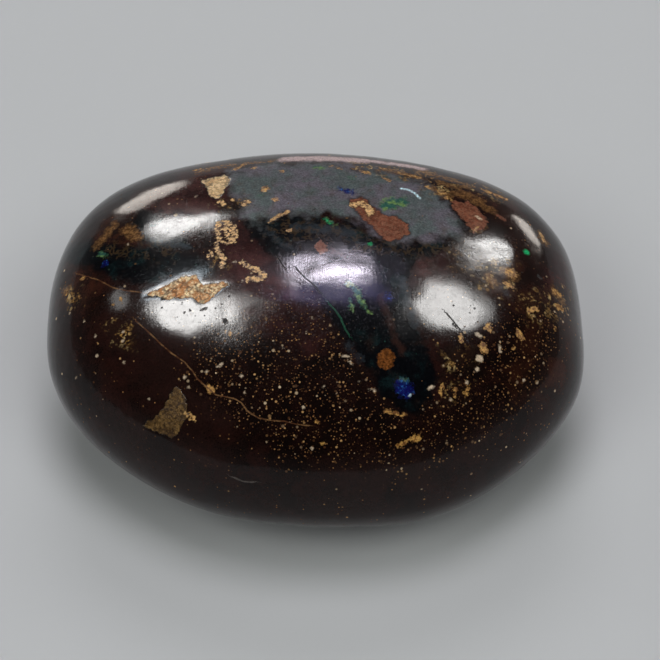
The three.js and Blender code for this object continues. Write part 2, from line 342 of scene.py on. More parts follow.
# The back, drawn as seen from behind, and the two ends: the same stone goes on round.
BACK_PATCHES = {
    "slate": [
        [(-5.0, 8.5), (5.2, 8.5), (5.8, 6.2), (4.2, 4.7), (2.0, 4.0), (-0.5, 4.5), (-2.5, 3.5),
         (-4.8, 4.5), (-6.2, 6.2)],
    ],
    "black": [
        [(-9.4, 3.0), (-5.0, 4.6), (-2.4, 3.4), (0.6, 4.3), (4.0, 4.6), (7.6, 2.4), (9.8, 0.4),
         (7.5, 0.6), (4.2, 2.3), (1.5, 1.7), (-2.0, 1.5), (-5.0, 2.7)],
    ],
    "maroon": [
        [(5.6, 5.8), (8.6, 4.2), (9.6, 2.2), (7.4, 2.8), (5.4, 4.4)],
        [(-2.4, 1.2), (2.4, 1.4), (4.4, 0.4), (2.8, -3.4), (-1.8, -3.8), (-3.8, -1.4)],
    ],
    "rust": [
        [(8.0, 2.0), (12.0, 1.5), (12.6, -1.5), (9.5, -2.6), (7.2, -0.6)],
        [(-12.5, 2.0), (-8.8, 2.8), (-8.2, 0.2), (-10.6, -1.4), (-12.8, -0.4)],
    ],
    "brick": [
        [(-3.6, 0.9), (-2.9, 1.35), (-1.7, 1.0), (-1.0, 0.2), (-1.3, -0.4), (-2.1, -0.5), (-2.7, 0.1),
         (-3.3, 0.2)],
    ],
    "tan": [
        [(4.4, -0.6), (5.0, -0.2), (5.7, -0.3), (6.5, -0.8), (6.2, -1.4), (5.5, -1.6), (5.1, -2.1),
         (4.6, -1.5)],
    ],
    "leaf": [
        [(-7.6, -1.2), (-6.9, -0.7), (-6.1, -0.9), (-5.2, -0.7), (-4.3, -1.5), (-5.0, -1.8), (-5.8, -2.3),
         (-6.6, -1.9), (-7.2, -1.9)],
    ],
    "threads": [
        [(-6.0, 4.4), (-2.4, 3.6), (2.0, 4.0), (6.0, 3.4), (5.6, 2.4), (1.6, 2.8), (-2.4, 2.4),
         (-6.0, 3.2)],
    ],
    "gold_dust": [
        [(0.8, -1.4), (3.6, -0.8), (4.2, -3.0), (1.4, -3.4)],
        [(-11.6, 0.8), (-9.2, 1.2), (-9.0, -0.8), (-11.4, -1.0)],
    ],
    "speckled": [
        [(-9.0, 2.0), (9.0, 2.0), (10.5, -2.5), (5.0, -4.6), (-4.0, -4.8), (-10.0, -2.8)],
    ],
    "green": [
        [(6.1, 3.0), (7.0, 3.0), (7.2, 2.6), (6.3, 2.4)],
    ],
}
BACK_STROKES = {
    "lace": [
        (0.1, [(-0.9, -1.6), (-0.2, -1.2), (0.5, -1.7), (0.3, -2.4), (-0.6, -2.5), (-0.9, -1.6)]),
        (0.09, [(7.6, -1.4), (8.2, -1.9), (8.1, -2.5)]),
    ],
    "ochre": [
        (0.15, [(2.9, 0.6), (3.2, 0.4)]), (0.18, [(7.2, 1.2), (7.6, 0.9)]),
        (0.12, [(-0.6, 5.3), (0.4, 5.5)]), (0.14, [(2.6, 5.6), (3.1, 5.4)]),
    ],
    "blue": [
        (0.16, [(0.4, 3.1), (0.7, 2.9)]),
    ],
}
BACK_DOTS = {
    "ochre": [
        (0.13, -4.2, 3.2),
    ],
    "cream": [
        (0.08, 0.9, 0.4), (0.07, -5.4, 0.6), (0.09, 3.9, -3.4), (0.08, -8.2, -2.4),
    ],
    "emerald": [
        (0.1, -3.4, 2.6),
    ],
    "pit": [
        (0.07, 5.9, 0.9), (0.06, -1.9, -2.9),
    ],
}
BACK_LINES = {
    "ochre_vein": [
        (0.034, [(-10.4, 3.2), (-8.2, 1.4), (-6.2, 0.6), (-3.6, -1.3), (-1.9, -1.7), (0.2, -3.2),
                 (2.6, -4.2)]),
    ],
    "green_vein": [
        (0.05, [(3.6, 3.6), (4.4, 3.0), (5.0, 2.9)]),
    ],
}
RIGHT_END_PATCHES = {
    "rust": [
        [(-5.5, 2.4), (-1.0, 3.6), (3.6, 2.4), (4.4, -0.6), (0.6, -2.4), (-4.4, -1.6)],
    ],
    "gold_dust": [
        [(-3.4, 2.2), (-0.6, 2.8), (0.4, 0.8), (-1.8, -0.2), (-3.8, 0.6)],
    ],
    "brick": [
        [(2.2, 0.4), (3.0, 0.9), (3.9, 0.5), (3.6, -0.2), (2.7, -0.5)],
    ],
}
RIGHT_END_STROKES = {
    "ochre": [
        (0.17, [(-4.8, -0.9), (-4.2, -1.1)]), (0.1, [(4.9, 1.4), (5.4, 1.1)]),
    ],
}
RIGHT_END_DOTS = {
    "ochre": [
        (0.12, 1.2, -1.4),
    ],
    "cream": [
        (0.07, -1.1, -1.9), (0.08, 1.9, 2.4),
    ],
}
LEFT_END_PATCHES = {
    "rust": [
        [(-4.4, 1.6), (0.4, 2.6), (4.6, 1.4), (3.2, -1.8), (-2.4, -2.2)],
    ],
    "black": [
        [(-6.4, 2.2), (-2.4, 3.8), (1.6, 4.2), (5.4, 3.0), (4.4, 2.2), (0.4, 3.0), (-3.4, 2.4)],
    ],
    "gold_dust": [
        [(0.6, 1.4), (3.2, 1.0), (2.8, -0.9), (0.9, -0.7)],
    ],
    "leaf": [
        [(-3.4, -0.2), (-2.6, 0.3), (-1.8, 0.1), (-1.5, -0.6), (-2.3, -1.1), (-3.1, -0.9)],
    ],
}
LEFT_END_STROKES = {
    "ochre": [
        (0.14, [(-4.9, 0.6), (-4.4, 0.3)]),
    ],
}
LEFT_END_DOTS = {
    "ochre": [
        (0.12, 4.6, -0.8),
    ],
    "cream": [
        (0.07, 0.2, -1.6), (0.08, -1.2, 1.6),
    ],
}
DRAWINGS = [
    (SHOW, SHOW_PATCHES, SHOW_STROKES, SHOW_DOTS, SHOW_LINES),
    (BACK, BACK_PATCHES, BACK_STROKES, BACK_DOTS, BACK_LINES),
    (RIGHT_END, RIGHT_END_PATCHES, RIGHT_END_STROKES, RIGHT_END_DOTS, {}),
    (LEFT_END, LEFT_END_PATCHES, LEFT_END_STROKES, LEFT_END_DOTS, {}),
]


# ---------------------------------------------------------------- making the stone's mesh

CAGE_CELLS = (11, 8, 5)  # along the stone's length, width and height
CAGE_ROUNDING = 12
CAGE_FITTINGS = 4
SMOOTHS_PER_FITTING = 4
SKIN_LEVELS = 4
SKIN_RELAXING = 6
CAD_LEVELS = 2
SAME_POINT = 0.001 * MM
HALF_WAY = 0.5


def deselect_all():
    bpy.ops.object.select_all(action="DESELECT")


def make_active(piece):
    deselect_all()
    piece.select_set(True)
    bpy.context.view_layer.objects.active = piece


def apply_modifiers(piece):
    make_active(piece)
    for modifier in list(piece.modifiers):
        bpy.ops.object.modifier_apply(modifier=modifier.name)


def subdivide(piece, levels):
    fine = piece.modifiers.new("fine", "SUBSURF")
    fine.levels = fine.render_levels = levels
    apply_modifiers(piece)


def smooth_copy_of_cad():
    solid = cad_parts[STONE_NODE]
    copy = solid.copy()
    copy.data = solid.data.copy()
    copy.parent = None
    bpy.context.scene.collection.objects.link(copy)
    make_active(copy)
    bpy.ops.object.mode_set(mode="EDIT")
    bpy.ops.mesh.select_all(action="SELECT")
    bpy.ops.mesh.remove_doubles(threshold=SAME_POINT)
    bpy.ops.object.mode_set(mode="OBJECT")
    subdivide(copy, CAD_LEVELS)
    return copy


def draw_onto(piece, target):
    wrap = piece.modifiers.new("wrap", "SHRINKWRAP")
    wrap.target = target
    wrap.wrap_method = "NEAREST_SURFACEPOINT"
    apply_modifiers(piece)


def even_out(piece, repeat):
    bpy.ops.object.mode_set(mode="EDIT")
    bpy.ops.mesh.select_all(action="SELECT")
    bpy.ops.mesh.vertices_smooth(factor=HALF_WAY, repeat=repeat)
    bpy.ops.object.mode_set(mode="OBJECT")


def make_stone_mesh():
    """A cage of even squares round the stone, rounded, drawn onto the CAD solid and made fine."""
    target = smooth_copy_of_cad()
    deselect_all()
    bpy.ops.mesh.primitive_cube_add(size=1, location=MIDDLE, scale=STONE_HIGH - STONE_LOW)
    stone = bpy.context.active_object
    stone.name = "polished_stone"
    bpy.ops.object.transform_apply(location=True, rotation=True, scale=True)
    bpy.ops.object.mode_set(mode="EDIT")
    for axis, cells in enumerate(CAGE_CELLS):
        across = Vector((0, 0, 0))
        across[axis] = 1
        for cut in range(1, cells):
            bpy.ops.mesh.select_all(action="SELECT")
            bpy.ops.mesh.bisect(plane_co=STONE_LOW.lerp(STONE_HIGH, cut / cells), plane_no=across)
    bpy.ops.object.mode_set(mode="OBJECT")
    even_out(stone, CAGE_ROUNDING)
    for _ in range(CAGE_FITTINGS):
        draw_onto(stone, target)
        even_out(stone, SMOOTHS_PER_FITTING)
    draw_onto(stone, target)
    subdivide(stone, SKIN_LEVELS)
    draw_onto(stone, target)
    relax = stone.modifiers.new("relax", "SMOOTH")
    relax.factor = HALF_WAY
    relax.iterations = SKIN_RELAXING
    apply_modifiers(stone)
    bpy.data.objects.remove(target)
    return stone


# ---------------------------------------------------------------- throwing the marks onto the stone

FAR = -3.0  # mm: the reach of a place that is far from every mark
NO_LINE = 9.0  # mm: the distance that stands for no line near
BOARD_AWAY = 50  # mm from the middle of the stone to a board
LINE_ROOM = 0.4  # mm on each side of a line, where it keeps its full width
TURNED_AWAY = 0.06  # a board draws only on faces turned to it more than this
SHOW_KEEPS = 0.10  # the other boards leave alone the faces turned to the show board more than this
FADE = 8  # mm of reach for each unit of turning
LEAST_WEIGHT = 0.001
TINY = 1e-12
MUCH = 1e9
TIE = 1e-9  # mm: when two stretches of a line are as near as this, the earlier one gives the sign


def places_and_normals(stone):
    mesh = stone.data
    places = np.empty(3 * len(mesh.vertices))
    normals = np.empty(3 * len(mesh.vertices))
    mesh.vertices.foreach_get("co", places)
    mesh.vertices.foreach_get("normal", normals)
    return places.reshape(-1, 3), normals.reshape(-1, 3)


class Canvas:
    """The stone's vertices, and how far each of them is inside the marks of each kind, in mm."""

    def __init__(self, stone):
        self.stone = stone
        self.places, self.normals = places_and_normals(stone)
        self.reach = {}
        self.across = {}

    def on_board(self, side):
        away = (self.places - np.array(MIDDLE)) / MM
        return np.stack([away @ np.array(side.right), away @ np.array(side.up)], axis=1)

    def on_stone(self, side, points):
        """The places where points on a board land on the stone; those that miss it are left out."""
        landed = []
        for across, up in points:
            start = MIDDLE + (side.right * across + side.up * up + side.toward * BOARD_AWAY) * MM
            found, place, _, _ = self.stone.ray_cast(start, -side.toward)
            if found:
                landed.append(np.array(place))
        return landed

    def limit(self, side):
        """How far inside the part of the stone that a board may draw on. The show board goes first."""
        seen = (self.normals @ np.array(side.toward) - TURNED_AWAY) * FADE
        if side is SHOW:
            return seen
        return np.minimum(seen, (SHOW_KEEPS - self.normals @ np.array(SHOW.toward)) * FADE)

    def keep_larger(self, side, kind, reach):
        reach = np.minimum(reach, self.limit(side))
        self.reach[kind] = np.maximum(self.reach.get(kind, FAR), reach)

    def add_patch(self, side, kind, outline):
        flat = self.on_board(side)
        corners = np.array(outline)
        nearest = np.full(len(flat), MUCH)
        inside = np.zeros(len(flat), bool)
        for start, end in zip(corners, np.roll(corners, -1, axis=0)):
            nearest = np.minimum(nearest, distance_to_segment(flat, start, end))
            crosses = (start[1] > flat[:, 1]) != (end[1] > flat[:, 1])
            slope = (end[0] - start[0]) / (end[1] - start[1] + TINY)
            inside ^= crosses & (flat[:, 0] < start[0] + slope * (flat[:, 1] - start[1]))
        self.keep_larger(side, kind, np.where(inside, nearest, -nearest))

    def add_stroke(self, side, kind, half_width, points):
        route = self.on_stone(side, points)
        if route:
            distance = distance_to_route(self.places, route) / MM
            self.keep_larger(side, kind, half_width - distance)

    def add_line(self, side, kind, half_width, points):
        """A line thinner than the mesh keeps its signed distance, which stays exact between vertices."""
        distance = distance_to_route(self.places, self.on_stone(side, points)) / MM
        signed = with_sign(self.on_board(side), np.array(points), distance)
        before = self.across.get(kind, np.full(len(distance), NO_LINE))
        self.across[kind] = np.where(distance < np.abs(before), signed, before)
        self.keep_larger(side, kind, half_width - np.maximum(distance - LINE_ROOM, 0))


def distance_to_segment(points, start, end):
    along = end - start
    share = np.clip((points - start) @ along / max(along @ along, TINY * MM * MM), 0, 1)
    return np.linalg.norm(points - start - share[:, None] * along, axis=1)


def distance_to_route(points, route):
    if len(route) == 1:
        return np.linalg.norm(points - route[0], axis=1)
    return np.min([distance_to_segment(points, a, b) for a, b in zip(route, route[1:])], axis=0)


def with_sign(flat, points, distance):
    """The distance to a line, below nought on the line's right."""
    nearest = np.full(len(flat), MUCH)
    sign = np.ones(len(flat))
    for start, end in zip(points, points[1:]):
        away = distance_to_segment(flat, start, end)
        along = end - start
        turn = along[0] * (flat[:, 1] - start[1]) - along[1] * (flat[:, 0] - start[0])
        sign = np.where(away < nearest - TIE, np.where(turn >= 0, 1, -1), sign)
        nearest = np.minimum(nearest, away)
    return sign * distance


def throw_marks(canvas):
    for side, patches, strokes, dots, lines in DRAWINGS:
        for kind, outlines in patches.items():
            for outline in outlines:
                canvas.add_patch(side, kind, outline)
        for kind, marks in strokes.items():
            for half_width, points in marks:
                canvas.add_stroke(side, kind, half_width, points)
        for kind, marks in dots.items():
            for radius, across, up in marks:
                canvas.add_stroke(side, kind, radius, [(across, up)])
        for kind, marks in lines.items():
            for half_width, points in marks:
                canvas.add_line(side, kind, half_width, points)


def store(mesh, name, values):
    attribute = mesh.attributes.new(name, "FLOAT", "POINT")
    attribute.data.foreach_set("value", np.asarray(values, dtype=np.float32))


def eased(values, low, high):
    share = np.clip((values - low) / (high - low), 0, 1)
    return share * share * (3 - 2 * share)


def press(stone, name, weights, depth, texture=None):
    """Moves the surface along its normal where the weights say so, with a texture's ups and downs."""
    group = stone.vertex_groups.new(name=name)
    for index in np.flatnonzero(weights > LEAST_WEIGHT):
        group.add([int(index)], float(weights[index]), "REPLACE")
    displace = stone.modifiers.new(name, "DISPLACE")
    displace.vertex_group = group.name
    displace.strength = depth
    if texture is None:
        displace.mid_level = 0
    else:
        displace.mid_level = HALF_WAY
        displace.texture = texture
        displace.texture_coords = "LOCAL"
    apply_modifiers(stone)
    stone.vertex_groups.remove(stone.vertex_groups[name])


def press_clouds(stone, name, weights, height, size, detail):
    texture = bpy.data.textures.new(name, "CLOUDS")
    texture.noise_scale = size * MM
    texture.noise_depth = detail
    press(stone, name, weights, height * MM, texture)


ROUGH_FILLINGS = ("tan", "olive", "leaf")
FLAT_EDGE = (0.3, 1.5)  # mm above the table, between which the waves of the polish set in
SLOW_WAVES = (0.06, 3.2, 1)  # height in mm, size in mm, detail
QUICK_WAVES = (0.010, 1.1, 1)
CRUMBS = (0.09, 0.28, 2)
FILLING_EDGE = (-0.1, 0.15)  # mm inside a filling, between which it sinks
FILLING_DEPTH = 0.03 * MM


def make_stone():
    stone = make_stone_mesh()
    canvas = Canvas(stone)
    off_the_flat = eased(canvas.places[:, 2] / MM, *FLAT_EDGE)
    press_clouds(stone, "slow_waves", off_the_flat, *SLOW_WAVES)
    press_clouds(stone, "quick_waves", off_the_flat, *QUICK_WAVES)
    throw_marks(canvas)
    fillings = np.max([canvas.reach[kind] for kind in ROUGH_FILLINGS], axis=0)
    sunk = eased(fillings, *FILLING_EDGE) * off_the_flat
    press(stone, "sunk", sunk, -FILLING_DEPTH)
    press_clouds(stone, "crumbly", sunk, *CRUMBS)
    for kind, reach in canvas.reach.items():
        store(stone.data, kind, reach)
    for kind, across in canvas.across.items():
        store(stone.data, kind + "_across", across)
    make_active(stone)
    bpy.ops.object.shade_smooth()
    return stone


# ---------------------------------------------------------------- node helpers

def add(tree, kind, **settings):
    node = tree.nodes.new(kind)
    for name, value in settings.items():
        setattr(node, name, value)
    return node


def feed(tree, socket, value):
    """Links an output, or sets a plain number, vector or colour."""
    if isinstance(value, bpy.types.NodeSocket):
        tree.links.new(value, socket)
    elif value is not None:
        socket.default_value = value


def calc(tree, operation, a, b=None, clamp=False):
    node = add(tree, "ShaderNodeMath", operation=operation, use_clamp=clamp)
    feed(tree, node.inputs[0], a)
    feed(tree, node.inputs[1], b)
    return node.outputs[0]


def times(tree, a, b):
    return calc(tree, "MULTIPLY", a, b)


def larger(tree, a, b):
    return calc(tree, "MAXIMUM", a, b)


def blend(tree, share, under, over):
    node = add(tree, "ShaderNodeMix", data_type="RGBA")
    feed(tree, node.inputs[0], share)
    feed(tree, node.inputs[6], under)
    feed(tree, node.inputs[7], over)
    return node.outputs[2]


def tint(tree, mask, strength, under, over):
    return blend(tree, times(tree, mask, strength), under, over)


def blend_value(tree, share, under, over):
    node = add(tree, "ShaderNodeMix", data_type="FLOAT")
    feed(tree, node.inputs[0], share)
    feed(tree, node.inputs[2], under)
    feed(tree, node.inputs[3], over)
    return node.outputs[0]


def ramp(tree, value, low, high):
    node = add(tree, "ShaderNodeMapRange", interpolation_type="SMOOTHSTEP")
    feed(tree, node.inputs[0], value)
    feed(tree, node.inputs[1], low)
    feed(tree, node.inputs[2], high)
    return node.outputs[0]


def colour(red, green, blue):
    return (red, green, blue, 1)


def scaled(tree, vector, factor):
    node = add(tree, "ShaderNodeVectorMath", operation="SCALE")
    feed(tree, node.inputs[0], vector)
    feed(tree, node.inputs["Scale"], factor)
    return node.outputs[0]


def in_mm(tree):
    return scaled(tree, add(tree, "ShaderNodeTexCoord").outputs["Object"], 1 / MM)


def in_cells(tree, size):
    """Object coordinates counted in cells of a size in mm."""
    return scaled(tree, in_mm(tree), calc(tree, "DIVIDE", 1.0, size))


def noise(tree, vector, detail, roughness=0.5, distortion=0.0):
    node = add(tree, "ShaderNodeTexNoise")
    feed(tree, node.inputs["Vector"], vector)
    node.inputs["Scale"].default_value = 1
    node.inputs["Detail"].default_value = detail
    node.inputs["Roughness"].default_value = roughness
    node.inputs["Distortion"].default_value = distortion
    return node.outputs[0]


def cells(tree, size, feature):
    node = add(tree, "ShaderNodeTexVoronoi", feature=feature)
    feed(tree, node.inputs["Vector"], in_cells(tree, size))
    node.inputs["Scale"].default_value = 1
    return node.outputs


# ---------------------------------------------------------------- groups that more than one finish uses
# Sizes, widths and distances in the groups are in mm.

FLECK_CORE, THREAD_CORE = 0.45, 0.3  # the part of a fleck's or a thread's width that is full
GAP_SIZE, GAP_EDGE = 1.6, 0.08
LINE_EDGE = (-0.02, 0.025)
LINE_THICKNESS_WAVE = 0.7


def new_group(name, inputs, outputs):
    tree = bpy.data.node_groups.new(name, "ShaderNodeTree")
    for socket_name, value in inputs.items():
        socket = tree.interface.new_socket(socket_name, in_out="INPUT", socket_type="NodeSocketFloat")
        socket.default_value = value
    for socket_name in outputs:
        tree.interface.new_socket(socket_name, in_out="OUTPUT", socket_type="NodeSocketFloat")
    return tree, tree.nodes.new("NodeGroupInput").outputs, tree.nodes.new("NodeGroupOutput").inputs


def wavering(tree, value, given, strength):
    """A value that a noise of the given wave pushes up and down by the given wobble."""
    wave = noise(tree, in_cells(tree, given["Wave"]), 3, 0.6)
    shift = times(tree, calc(tree, "SUBTRACT", wave, 0.5), given["Wobble"])
    return calc(tree, "ADD", value, times(tree, shift, strength))


def mark_edge_group():
    """A mark with an uneven edge, and the rim on both sides of that edge."""
    tree, given, made = new_group(
        "mark_edge", {"Reach": 0, "Wobble": 0.1, "Wave": 0.3, "Softness": 0.05, "Rim": 0.08},
        ["Mask", "Rim"])
    reach = wavering(tree, given["Reach"], given, 2)
    outside = times(tree, given["Softness"], -1)
    feed(tree, made["Mask"], ramp(tree, reach, outside, given["Softness"]))
    away = calc(tree, "DIVIDE", calc(tree, "ABSOLUTE", reach), given["Rim"])
    feed(tree, made["Rim"], calc(tree, "SUBTRACT", 1, away, clamp=True))
    return tree


def flecks_group():
    """Round flecks: one in each cell, where the cell's chance is under the share."""
    tree, given, made = new_group(
        "flecks", {"Spacing": 0.4, "Radius": 0.06, "Share": 0.5}, ["Mask", "Chance"])
    cell = cells(tree, given["Spacing"], "F1")
    parts = add(tree, "ShaderNodeSeparateColor")
    feed(tree, parts.inputs[0], cell["Color"])
    chance, size_chance, tone_chance = parts.outputs
    away = times(tree, cell["Distance"], given["Spacing"])
    size = times(tree, given["Radius"], calc(tree, "ADD", 0.5, size_chance))
    dot = ramp(tree, away, size, times(tree, size, FLECK_CORE))
    there = calc(tree, "LESS_THAN", chance, given["Share"])
    feed(tree, made["Mask"], times(tree, dot, there))
    feed(tree, made["Chance"], tone_chance)
    return tree


def fine_line_group():
    """A hairline along a signed distance, with a width that comes and goes."""
    tree, given, made = new_group(
        "fine_line", {"Across": 9, "Reach": -1, "Wobble": 0.05, "Wave": 0.5}, ["Mask"])
    away = calc(tree, "ABSOLUTE", wavering(tree, given["Across"], given, 1))
    thick = noise(tree, in_cells(tree, LINE_THICKNESS_WAVE), 1)
    half = times(tree, given["Reach"], calc(tree, "ADD", thick, 0.5))
    feed(tree, made["Mask"], ramp(tree, calc(tree, "SUBTRACT", half, away), *LINE_EDGE))
    return tree


def net_group():
    """Threads round grains: the borders of cells, broken up by noise."""
    tree, given, made = new_group("net", {"Grain": 0.4, "Thread": 0.06, "Broken": 0.5}, ["Mask"])
    cell = cells(tree, given["Grain"], "DISTANCE_TO_EDGE")
    away = times(tree, cell["Distance"], given["Grain"])
    thread = ramp(tree, away, given["Thread"], times(tree, given["Thread"], THREAD_CORE))
    gaps = noise(tree, in_cells(tree, times(tree, given["Grain"], GAP_SIZE)), 3)
    whole = ramp(tree, gaps, given["Broken"], calc(tree, "ADD", given["Broken"], GAP_EDGE))
    feed(tree, made["Mask"], times(tree, thread, whole))
    return tree


def mottle_group():
    """Cloudy patches."""
    tree, given, made = new_group("mottle", {"Size": 1, "Low": 0.4, "High": 0.6}, ["Value"])
    value = noise(tree, in_cells(tree, given["Size"]), 5, 0.6, 0.3)
    feed(tree, made["Value"], ramp(tree, value, given["Low"], given["High"]))
    return tree


GROUPS = {
    "mark_edge": mark_edge_group(),
    "flecks": flecks_group(),
    "fine_line": fine_line_group(),
    "net": net_group(),
    "mottle": mottle_group(),
}


def use(tree, group, **inputs):
    node = add(tree, "ShaderNodeGroup", node_tree=GROUPS[group])
    for name, value in inputs.items():
        feed(tree, node.inputs[name], value)
    return node.outputs


def field(tree, name):
    return add(tree, "ShaderNodeAttribute", attribute_name=name).outputs["Fac"]


def rimmed_mark(tree, kind, wobble, wave, softness, rim):
    edge = use(tree, "mark_edge", Reach=field(tree, kind), Wobble=wobble, Wave=wave,
               Softness=softness, Rim=rim)
    return edge["Mask"], edge["Rim"]


def mark(tree, kind, wobble, wave, softness):
    return use(tree, "mark_edge", Reach=field(tree, kind), Wobble=wobble, Wave=wave,
               Softness=softness)["Mask"]


def hairline(tree, kind):
    return use(tree, "fine_line", Across=field(tree, kind + "_across"), Reach=field(tree, kind))["Mask"]


def mottle(tree, size, low, high):
    return use(tree, "mottle", Size=size, Low=low, High=high)["Value"]


def net(tree, grain, thread, broken):
    return use(tree, "net", Grain=grain, Thread=thread, Broken=broken)["Mask"]


# ---------------------------------------------------------------- the stone's material

def ironstone(tree, fine_mottled):
    """The dark reddish ground, with its maroon and rust zones."""
    broad = mottle(tree, 4.5, 0.40, 0.64)
    mottled = mottle(tree, 1.3, 0.38, 0.66)
    stone = blend(tree, mottled, colour(0.0056, 0.0028, 0.0026), colour(0.0175, 0.0054, 0.0042))
    stone = tint(tree, broad, 0.6, stone, colour(0.0190, 0.0075, 0.0058))
    stone = tint(tree, fine_mottled, 0.4, stone, colour(0.0110, 0.0055, 0.0042))
    maroon_tone = blend(tree, mottled, colour(0.0230, 0.0066, 0.0062), colour(0.0600, 0.0180, 0.0160))
    stone = tint(tree, mark(tree, "maroon", 1.0, 1.1, 0.7), 0.9, stone, maroon_tone)
    rust_tone = blend(tree, mottled, colour(0.014, 0.0054, 0.0036), colour(0.042, 0.0125, 0.0068))
    return blend(tree, mark(tree, "rust", 1.0, 1.1, 0.8), stone, rust_tone)


def black_zone(tree, stone):
    """Black opal, partly a painted reflection of the dark room, with hints of teal and brown, russet and
    steel streaks, motes and brown threads.
    """
    black = mark(tree, "black", 0.5, 0.7, 0.22)
    teal = mottle(tree, 1.2, 0.50, 0.72)
    brown = mottle(tree, 0.8, 0.55, 0.72)
    black_tone = blend(tree, teal, colour(0.0018, 0.0020, 0.0028), colour(0.0045, 0.0125, 0.0135))
    black_tone = tint(tree, brown, 0.6, black_tone, colour(0.016, 0.009, 0.007))
    stone = blend(tree, black, stone, black_tone)
    stone = tint(tree, mark(tree, "russet", 0.4, 0.5, 0.18), 0.8, stone, colour(0.028, 0.011, 0.008))
    stone = tint(tree, mark(tree, "steel", 0.4, 0.4, 0.2), 0.7, stone, colour(0.026, 0.034, 0.042))
    motes = use(tree, "flecks", Spacing=0.32, Radius=0.05, Share=0.35)
    motes_tone = blend(tree, motes["Chance"], colour(0.008, 0.040, 0.030), colour(0.045, 0.032, 0.022))
    stone = tint(tree, motes["Mask"], black, stone, motes_tone)
    web = times(tree, mark(tree, "threads", 0.8, 0.8, 0.35), net(tree, 0.26, 0.07, 0.46))
    return tint(tree, web, 0.5, stone, colour(0.060, 0.034, 0.014)), black


def slate_zone(tree, stone, fine_mottled):
    """Grey opal that drifts between green and lilac."""
    slate = mark(tree, "slate", 0.75, 0.9, 0.3)
    lilac = mottle(tree, 1.8, 0.4, 0.62)
    tone = blend(tree, lilac, colour(0.096, 0.116, 0.116), colour(0.140, 0.122, 0.148))
    tone = tint(tree, mottle(tree, 0.7, 0.50, 0.75), 0.65, tone, colour(0.085, 0.060, 0.048))
    tone = tint(tree, fine_mottled, 0.35, tone, colour(0.056, 0.054, 0.058))
    tone = tint(tree, mottle(tree, 0.95, 0.60, 0.74), 0.45, tone, colour(0.060, 0.135, 0.080))
    return blend(tree, slate, stone, tone), slate


def gold_and_painted_rim_reflection(tree, stone, crumb):
    """Grains and threads of gold ochre, amber stains, and the pale pink line at the crown, a painted
    reflection of the table.
    """
    dusty = mark(tree, "gold_dust", 0.8, 0.7, 0.35)
    clumps = mottle(tree, 0.75, 0.46, 0.58)
    grains = use(tree, "flecks", Spacing=0.27, Radius=0.11, Share=0.75)
    gold = blend(tree, crumb, colour(0.085, 0.036, 0.011), colour(0.33, 0.18, 0.050))
    gold = blend(tree, calc(tree, "POWER", grains["Chance"], 3), gold, colour(0.62, 0.44, 0.20))
    golden = larger(tree, net(tree, 0.28, 0.07, 0.50), grains["Mask"])
    golden = times(tree, times(tree, golden, clumps), dusty)
    stone = tint(tree, dusty, 0.5, stone, colour(0.020, 0.010, 0.006))
    stone = blend(tree, golden, stone, gold)
    amber_tone = blend(tree, crumb, colour(0.075, 0.030, 0.010), colour(0.25, 0.125, 0.042))
    stone = tint(tree, mark(tree, "amber", 0.5, 0.35, 0.22), 0.85, stone, amber_tone)
    # Painted reflection: the pale pink line where the table glances off the crown's rim.
    return tint(tree, mark(tree, "painted_rim_reflection", 0.3, 0.5, 0.2), 0.85, stone, colour(0.64, 0.46, 0.45))


SPECK_LAYERS = [  # spacing and radius in mm, the part of its cells that is filled, and the palest tone
    (0.15, 0.040, 0.9, colour(0.34, 0.17, 0.065)),
    (0.23, 0.058, 0.85, colour(0.52, 0.30, 0.12)),
    (0.36, 0.075, 0.6, colour(0.66, 0.50, 0.32)),
    (0.80, 0.100, 0.4, colour(0.46, 0.28, 0.12)),
]
SPECKS_EVERYWHERE = 0.10
SPECKS_IN_SPECKLED_ZONE = 0.85
SPECKS_LOST_IN_OPAL = 0.93


def specks(tree, stone, slate, black):
    speckled = mark(tree, "speckled", 1.2, 1.6, 0.9)
    lost = times(tree, larger(tree, slate, black), SPECKS_LOST_IN_OPAL)
    share = calc(tree, "ADD", times(tree, speckled, SPECKS_IN_SPECKLED_ZONE), SPECKS_EVERYWHERE)
    share = times(tree, share, calc(tree, "SUBTRACT", 1, lost, clamp=True))
    stone = tint(tree, speckled, 0.5, stone, colour(0.0022, 0.0011, 0.0009))
    for spacing, radius, part, pale in SPECK_LAYERS:
        layer = use(tree, "flecks", Spacing=spacing, Radius=radius, Share=times(tree, share, part))
        tone = blend(tree, calc(tree, "POWER", layer["Chance"], 2.6), colour(0.060, 0.024, 0.010), pale)
        stone = blend(tree, layer["Mask"], stone, tone)
    return stone


def brick_patches(tree, stone, fine_mottled, crumb):
    """Red iron oxide with a dark line round it, partly a border and partly painted shade, and the ochre
    pebble.
    """
    brick, rim = rimmed_mark(tree, "brick", 0.26, 0.4, 0.05, 0.13)
    brick_tone = blend(tree, fine_mottled, colour(0.120, 0.036, 0.020), colour(0.230, 0.078, 0.044))
    brick_tone = tint(tree, crumb, 0.30, brick_tone, colour(0.27, 0.15, 0.095))
    # The dark rim is partly a border and partly painted shade along the patch's edge.
    stone = tint(tree, rim, 0.8, stone, colour(0.010, 0.007, 0.007))
    stone = blend(tree, brick, stone, brick_tone)
    pebble_tone = blend(tree, crumb, colour(0.055, 0.016, 0.003), colour(0.18, 0.058, 0.011))
    return blend(tree, mark(tree, "pebble", 0.26, 0.35, 0.05), stone, pebble_tone)


